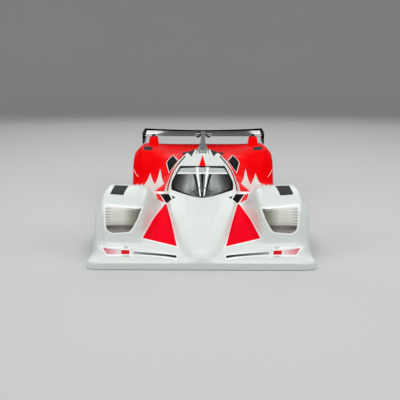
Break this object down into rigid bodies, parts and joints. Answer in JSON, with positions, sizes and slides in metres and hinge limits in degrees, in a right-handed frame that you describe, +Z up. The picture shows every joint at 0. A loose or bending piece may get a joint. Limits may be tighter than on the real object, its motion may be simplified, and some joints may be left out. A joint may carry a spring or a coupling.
{
  "type": "model sports prototype race car",
  "caption": "Radio-controlled model of a closed sports prototype race car: thin painted shell and wing over a flat chassis with steered front wheels and a live rear axle.",
  "frame": {"origin": "on the ground under the middle of the overall length", "axes": "+X to the car's left, +Y to its rear, +Z up; the nose faces -Y"},
  "size_m": [0.178, 0.36, 0.0792],
  "materials": {
    "painted_shell": "clear polycarbonate sheet painted on its inside, glossy outside",
    "clear_window": "glossy tinted sheet",
    "headlight_print": "glossy, printed lamp pattern",
    "fin_plastic": "glossy grey sheet",
    "wing_plastic": "glossy black sheet",
    "carbon_plate": "woven carbon laminate, satin",
    "moulded_plastic": "moulded nylon, matt",
    "steel": "ground",
    "rim_plastic": "moulded, semi gloss",
    "foam_tyre": "closed-cell foam rubber, matt",
    "battery_wrap": "hard case",
    "aluminium": "machined",
    "motor_can": "plated can",
    "magnet_metal": "nickel plated"
  },
  "bodies": {
    "root": {"battery": "battery_wrap", "body_posts_front": "aluminium", "body_posts_rear": "aluminium", "body_shell": "painted_shell", "bulkhead_left": "aluminium", "bulkhead_right": "aluminium", "chassis_plate": "carbon_plate", "flex_plate": "carbon_plate", "front_arm_left": "moulded_plastic", "front_arm_right": "moulded_plastic", "headlight_left": "headlight_print", "headlight_right": "headlight_print", "kingpin_left": "steel", "kingpin_right": "steel", "magnets_front": "magnet_metal", "magnets_rear": "magnet_metal", "motor": "motor_can", "pod_plate": "carbon_plate", "servo": "moulded_plastic", "shark_fin": "fin_plastic", "side_link_left": "carbon_plate", "side_link_right": "carbon_plate", "windscreen": "clear_window", "wing_blade": "wing_plastic", "wing_end_plate_left": "wing_plastic", "wing_end_plate_right": "wing_plastic"},
    "knuckle_left": {"knuckle_left": "moulded_plastic", "stub_axle_left": "steel"},
    "knuckle_right": {"knuckle_right": "moulded_plastic", "stub_axle_right": "steel"},
    "tie_rod": {"tie_rod": "moulded_plastic"},
    "servo_horn": {"servo_horn": "moulded_plastic"},
    "front_wheel_left": {"front_rim_left": "rim_plastic", "front_tyre_left": "foam_tyre"},
    "front_wheel_right": {"front_rim_right": "rim_plastic", "front_tyre_right": "foam_tyre"},
    "rear_axle": {"rear_axle": "steel", "rear_rim_left": "rim_plastic", "rear_tyre_left": "foam_tyre", "spur_gear": "moulded_plastic"},
    "rear_wheel_right": {"rear_rim_right": "rim_plastic", "rear_tyre_right": "foam_tyre"}
  },
  "joints": [
    {"name": "steer_left", "type": "hinge", "parent": "root", "child": "knuckle_left", "pos_m": [0.058, -0.104, 0.021], "axis": [0, 0, 1], "range_deg": [-20, 20]},
    {"name": "steer_right", "type": "hinge", "parent": "root", "child": "knuckle_right", "pos_m": [-0.058, -0.104, 0.021], "axis": [0, 0, 1], "range_deg": [-20, 20]},
    {"name": "tie_rod_slide", "type": "slide", "parent": "root", "child": "tie_rod", "axis": [1, 0, 0], "range_m": [-0.0049, 0.0049]},
    {"name": "servo_horn_turn", "type": "hinge", "parent": "root", "child": "servo_horn", "pos_m": [0, -0.0843, 0.0285], "axis": [0, 1, 0], "range_deg": [-28.7, 28.7]},
    {"name": "front_wheel_left_spin", "type": "hinge", "parent": "knuckle_left", "child": "front_wheel_left", "pos_m": [0.074, -0.104, 0.021], "axis": [1, 0, 0], "continuous": true},
    {"name": "front_wheel_right_spin", "type": "hinge", "parent": "knuckle_right", "child": "front_wheel_right", "pos_m": [-0.074, -0.104, 0.021], "axis": [1, 0, 0], "continuous": true},
    {"name": "rear_axle_spin", "type": "hinge", "parent": "root", "child": "rear_axle", "pos_m": [0, 0.094, 0.0215], "axis": [1, 0, 0], "continuous": true},
    {"name": "rear_wheel_right_spin", "type": "hinge", "parent": "rear_axle", "child": "rear_wheel_right", "pos_m": [-0.0645, 0.094, 0.0215], "axis": [1, 0, 0], "continuous": true}
  ],
  "couplings": [
    {"joint": "steer_right", "follows": "steer_left", "ratio": 1},
    {"joint": "tie_rod_slide", "follows": "steer_left", "m_per_rad": -0.014},
    {"joint": "servo_horn_turn", "follows": "steer_left", "ratio": 1.43}
  ]
}
